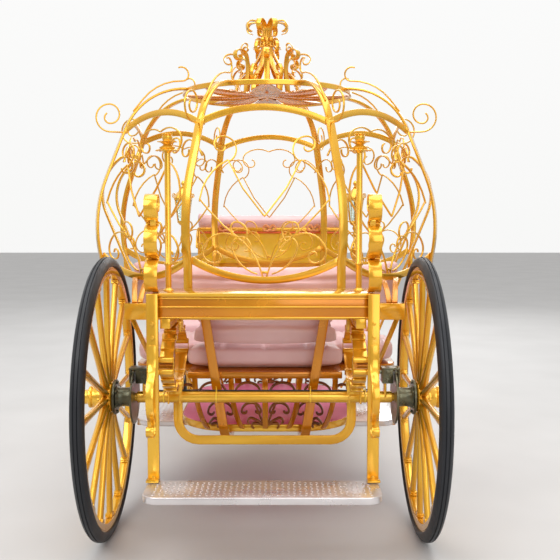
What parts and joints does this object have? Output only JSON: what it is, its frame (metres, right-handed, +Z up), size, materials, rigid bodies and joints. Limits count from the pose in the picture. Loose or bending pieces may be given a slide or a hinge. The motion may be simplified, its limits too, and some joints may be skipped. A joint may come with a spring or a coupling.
{
  "type": "horse drawn carriage",
  "caption": "Open four-wheeled horse carriage with a round gold cage of bent ribs and scrolls, facing benches, a driver's seat, a steering turntable and hinged shafts",
  "frame": {"origin": "on the floor under the middle of the carriage's length, on its middle plane", "axes": "X to the right, Y forward along the carriage's length, Z up"},
  "size_m": [1.6496, 5.3589, 2.3709],
  "materials": {
    "gold_paint": "glossy gold paint on steel bar",
    "orange_gold": "glossy orange gold paint on sheet",
    "black_tyre": "solid black rubber, slightly polished",
    "hub_steel": "turned steel, darkened with an olive tone",
    "tread_plate": "raised tread pattern",
    "pink_satin": "pale pink upholstery with a soft sheen",
    "pink_carpet": "hot pink short pile",
    "yellow_panel": "glossy yellow paint on sheet"
  },
  "bodies": {
    "carriage": {"base_bows": "gold_paint", "basket_ribs": "gold_paint", "brakes": "hub_steel", "cabin_floor": "pink_carpet", "cage_arches": "gold_paint", "cage_ribs": "gold_paint", "chassis": "gold_paint", "crown": "gold_paint", "driver_back_pad": "pink_satin", "driver_box": "gold_paint", "driver_cushion": "pink_satin", "driver_panel": "yellow_panel", "entry_bows": "gold_paint", "floor_joists": "gold_paint", "floor_ring": "gold_paint", "footboard": "tread_plate", "front_back": "pink_satin", "front_cushion": "pink_satin", "front_seat_board": "gold_paint", "hanger_brackets": "gold_paint", "hangers": "gold_paint", "lamps": "gold_paint", "panel_scrolls": "gold_paint", "platform": "tread_plate", "rear_axle": "gold_paint", "rear_back": "pink_satin", "rear_box": "gold_paint", "rear_cushion": "pink_satin", "rear_hoop": "gold_paint", "rear_posts": "gold_paint", "rear_scrolls": "gold_paint", "rear_seat_board": "gold_paint", "rear_springs": "gold_paint", "roof_ring": "gold_paint", "roof_rosette": "orange_gold", "roof_straps": "gold_paint", "seat_rosettes": "gold_paint", "side_steps": "tread_plate", "strap_curls": "gold_paint", "tendrils": "gold_paint", "turntable_upper": "gold_paint"},
    "rear_wheel_right": {"rear_tyre_right": "black_tyre", "rear_rim_right": "gold_paint", "rear_hub_right": "hub_steel"},
    "rear_wheel_left": {"rear_tyre_left": "black_tyre", "rear_rim_left": "gold_paint", "rear_hub_left": "hub_steel"},
    "turntable": {"front_axle": "gold_paint", "front_springs": "gold_paint", "turntable_lower": "gold_paint", "shaft_carrier": "gold_paint"},
    "front_wheel_right": {"front_tyre_right": "black_tyre", "front_rim_right": "gold_paint"},
    "front_wheel_left": {"front_tyre_left": "black_tyre", "front_rim_left": "gold_paint"},
    "shafts": {"shafts": "gold_paint", "shaft_bar": "gold_paint"}
  },
  "joints": [
    {"name": "rear_wheel_right_turn", "type": "hinge", "parent": "carriage", "child": "rear_wheel_right", "pos_m": [0.672, -2.07949, 0.6], "axis": [1, 0, 0], "continuous": true},
    {"name": "rear_wheel_left_turn", "type": "hinge", "parent": "carriage", "child": "rear_wheel_left", "pos_m": [-0.672, -2.07949, 0.6], "axis": [1, 0, 0], "continuous": true},
    {"name": "steering", "type": "hinge", "parent": "carriage", "child": "turntable", "pos_m": [0, 0.42051, 0.8], "axis": [0, 0, 1], "range_deg": [-30, 30]},
    {"name": "front_wheel_right_turn", "type": "hinge", "parent": "turntable", "child": "front_wheel_right", "pos_m": [0.6, 0.42051, 0.42], "axis": [1, 0, 0], "continuous": true},
    {"name": "front_wheel_left_turn", "type": "hinge", "parent": "turntable", "child": "front_wheel_left", "pos_m": [-0.6, 0.42051, 0.42], "axis": [1, 0, 0], "continuous": true},
    {"name": "shafts_lift", "type": "hinge", "parent": "turntable", "child": "shafts", "pos_m": [0, 0.82051, 0.39787], "axis": [1, 0, 0], "range_deg": [0, 65]}
  ]
}
